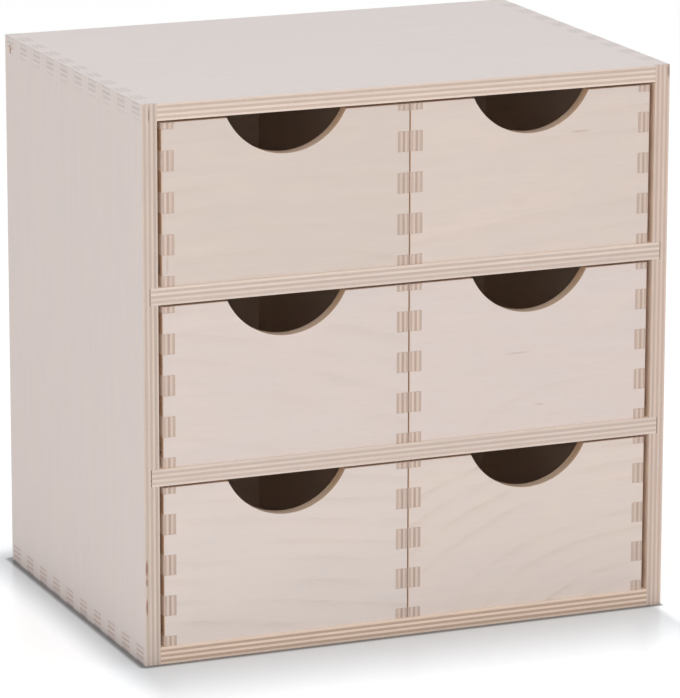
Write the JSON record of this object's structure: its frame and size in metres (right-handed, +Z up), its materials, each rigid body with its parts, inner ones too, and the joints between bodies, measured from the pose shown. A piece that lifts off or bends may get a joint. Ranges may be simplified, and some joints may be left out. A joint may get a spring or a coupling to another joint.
{
  "type": "desktop mini drawers",
  "caption": "Small plywood desktop chest of side-by-side pull-out drawers with box-jointed corners and arc finger cut-outs in the drawer fronts, for crafts and small parts.",
  "frame": {"origin": "middle of the underside of the chest", "axes": "+Z up, +Y from the drawer fronts towards the back, +X to the right seen from the front"},
  "size_m": [0.285, 0.205, 0.285],
  "materials": {
    "case_plywood": "untreated birch plywood, sanded, thick boards with seven plies showing at their edges",
    "drawer_plywood": "untreated birch plywood, sanded, boards with five plies showing at their edges",
    "thin_plywood": "untreated thin birch plywood with three plies"
  },
  "bodies": {
    "carcase": {"top_panel": "case_plywood", "bottom_panel": "case_plywood", "left_side": "case_plywood", "right_side": "case_plywood", "lower_shelf": "case_plywood", "upper_shelf": "case_plywood", "back_panel": "thin_plywood"},
    "bottom_left_drawer": {"bottom_left_drawer_front": "drawer_plywood", "bottom_left_drawer_back": "drawer_plywood", "bottom_left_drawer_left_side": "drawer_plywood", "bottom_left_drawer_right_side": "drawer_plywood", "bottom_left_drawer_bottom": "thin_plywood"},
    "bottom_right_drawer": {"bottom_right_drawer_front": "drawer_plywood", "bottom_right_drawer_back": "drawer_plywood", "bottom_right_drawer_left_side": "drawer_plywood", "bottom_right_drawer_right_side": "drawer_plywood", "bottom_right_drawer_bottom": "thin_plywood"},
    "middle_left_drawer": {"middle_left_drawer_front": "drawer_plywood", "middle_left_drawer_back": "drawer_plywood", "middle_left_drawer_left_side": "drawer_plywood", "middle_left_drawer_right_side": "drawer_plywood", "middle_left_drawer_bottom": "thin_plywood"},
    "middle_right_drawer": {"middle_right_drawer_front": "drawer_plywood", "middle_right_drawer_back": "drawer_plywood", "middle_right_drawer_left_side": "drawer_plywood", "middle_right_drawer_right_side": "drawer_plywood", "middle_right_drawer_bottom": "thin_plywood"},
    "top_left_drawer": {"top_left_drawer_front": "drawer_plywood", "top_left_drawer_back": "drawer_plywood", "top_left_drawer_left_side": "drawer_plywood", "top_left_drawer_right_side": "drawer_plywood", "top_left_drawer_bottom": "thin_plywood"},
    "top_right_drawer": {"top_right_drawer_front": "drawer_plywood", "top_right_drawer_back": "drawer_plywood", "top_right_drawer_left_side": "drawer_plywood", "top_right_drawer_right_side": "drawer_plywood", "top_right_drawer_bottom": "thin_plywood"}
  },
  "joints": [
    {"name": "bottom_left_drawer_slide", "type": "slide", "parent": "carcase", "child": "bottom_left_drawer", "axis": [0, -1, 0], "range_m": [0, 0.15]},
    {"name": "bottom_right_drawer_slide", "type": "slide", "parent": "carcase", "child": "bottom_right_drawer", "axis": [0, -1, 0], "range_m": [0, 0.15]},
    {"name": "middle_left_drawer_slide", "type": "slide", "parent": "carcase", "child": "middle_left_drawer", "axis": [0, -1, 0], "range_m": [0, 0.15]},
    {"name": "middle_right_drawer_slide", "type": "slide", "parent": "carcase", "child": "middle_right_drawer", "axis": [0, -1, 0], "range_m": [0, 0.15]},
    {"name": "top_left_drawer_slide", "type": "slide", "parent": "carcase", "child": "top_left_drawer", "axis": [0, -1, 0], "range_m": [0, 0.15]},
    {"name": "top_right_drawer_slide", "type": "slide", "parent": "carcase", "child": "top_right_drawer", "axis": [0, -1, 0], "range_m": [0, 0.15]}
  ]
}
